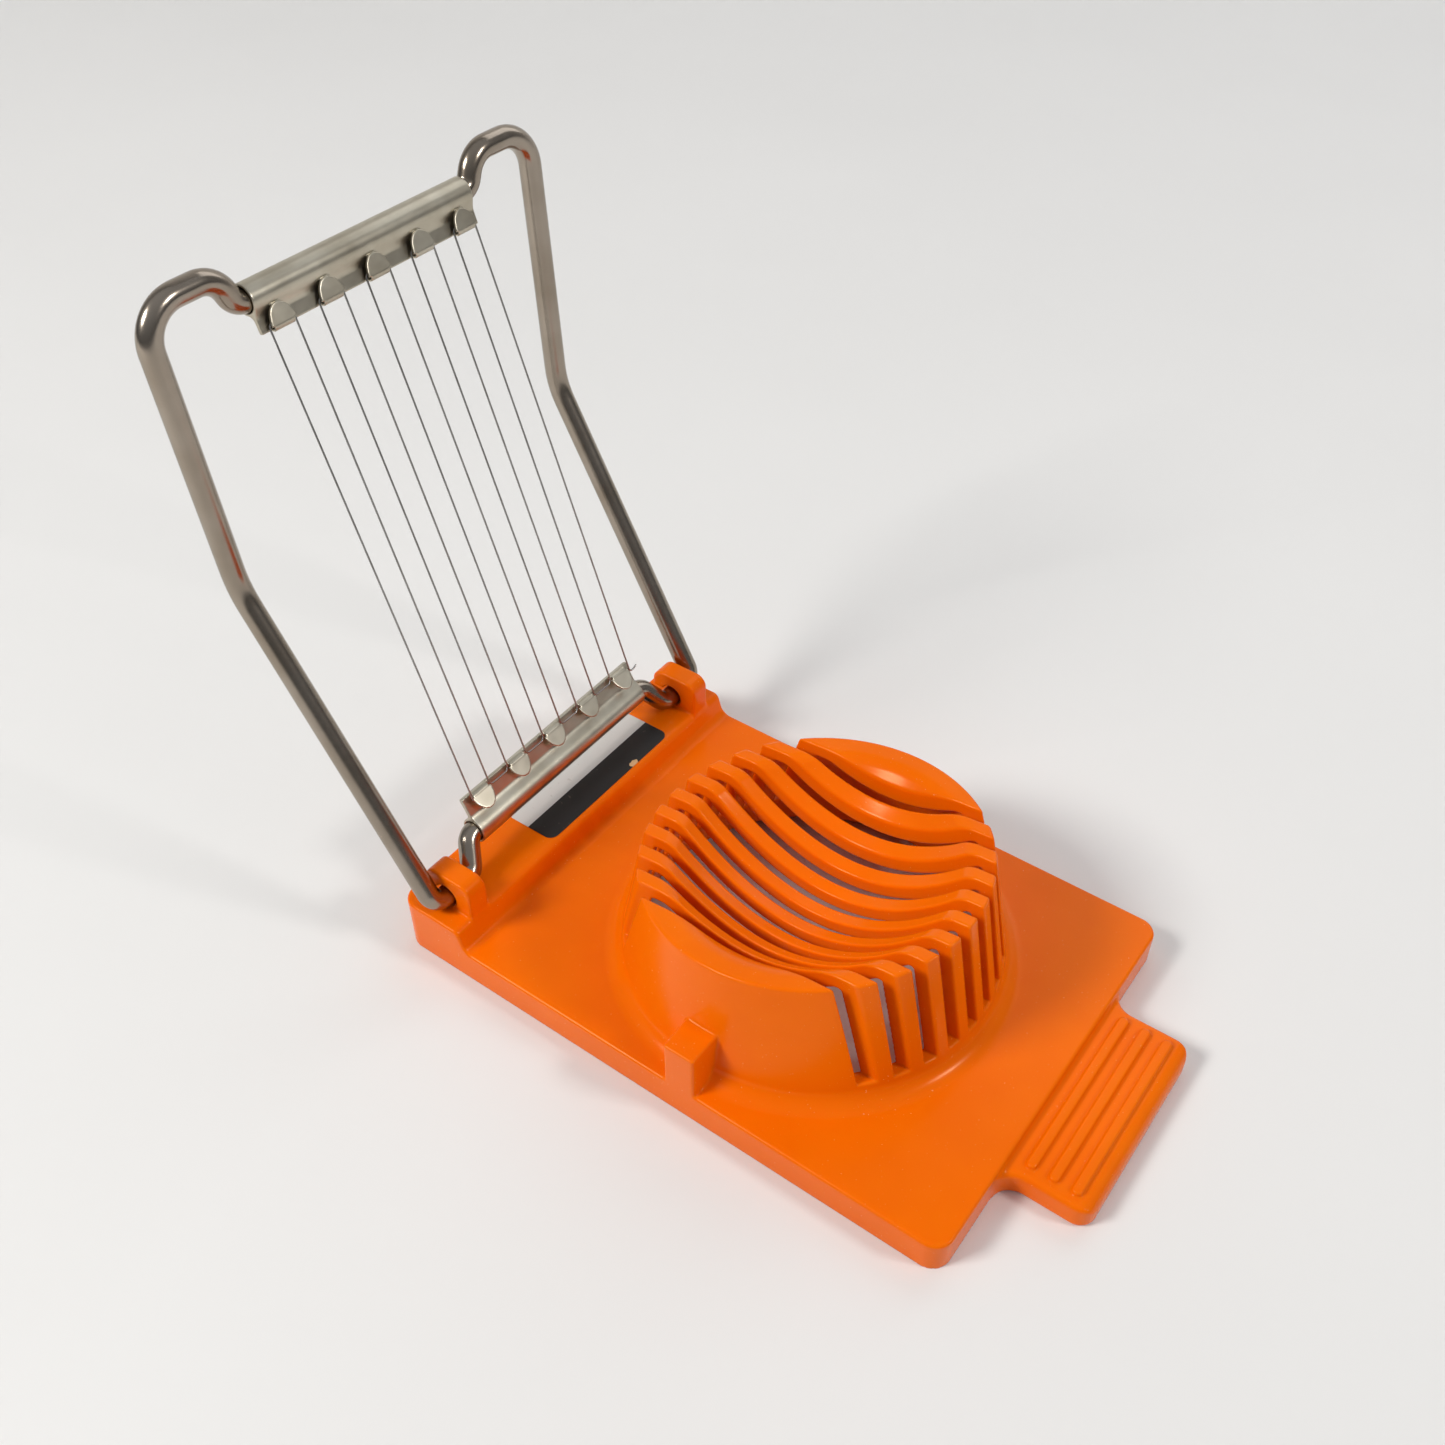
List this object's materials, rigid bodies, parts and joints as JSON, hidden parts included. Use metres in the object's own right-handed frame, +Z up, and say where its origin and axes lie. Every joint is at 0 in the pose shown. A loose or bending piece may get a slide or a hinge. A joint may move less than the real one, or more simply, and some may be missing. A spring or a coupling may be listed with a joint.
{
  "type": "egg slicer",
  "caption": "Hinged egg slicer: a moulded base with a slotted egg cradle and thumb tab, under a bent wire frame strung with parallel cutting wires.",
  "frame": {"origin": "centre of the bounding box in X and Y, on the surface the base stands on, with the wire frame open", "axes": "+Z up; +Y from the thumb tab to the hinge; +X to the right as seen from the thumb tab, along the hinge"},
  "size_m": [0.0856, 0.1592, 0.1212],
  "materials": {
    "orange_plastic": "glossy moulded orange plastic with fine handling scratches",
    "label_film": "satin sticker, one white band and one black band, no lettering",
    "frame_steel": "nickel-plated steel wire, bright with slight wear",
    "strip_steel": "nickel-plated sheet steel, satin with wear marks",
    "cutting_steel": "thin drawn steel wire"
  },
  "bodies": {
    "base": {"base": "orange_plastic", "label": "label_film"},
    "cutting_frame": {"frame_wire": "frame_steel", "clamp_strip_lower": "strip_steel", "clamp_strip_upper": "strip_steel", "cutting_run_1": "cutting_steel", "cutting_run_2": "cutting_steel", "cutting_run_3": "cutting_steel", "cutting_run_4": "cutting_steel", "cutting_run_5": "cutting_steel", "cutting_run_6": "cutting_steel", "cutting_run_7": "cutting_steel", "cutting_run_8": "cutting_steel", "cutting_run_9": "cutting_steel", "cutting_run_10": "cutting_steel", "wire_turn_upper_1": "cutting_steel", "wire_turn_upper_2": "cutting_steel", "wire_turn_upper_3": "cutting_steel", "wire_turn_upper_4": "cutting_steel", "wire_turn_upper_5": "cutting_steel", "wire_turn_lower_1": "cutting_steel", "wire_turn_lower_2": "cutting_steel", "wire_turn_lower_3": "cutting_steel", "wire_turn_lower_4": "cutting_steel", "wire_end_left": "cutting_steel", "wire_end_right": "cutting_steel"}
  },
  "joints": [
    {"name": "frame_hinge", "type": "hinge", "parent": "base", "child": "cutting_frame", "pos_m": [0, 0.04121, 0.0136], "axis": [1, 0, 0], "range_deg": [0, 110]}
  ]
}
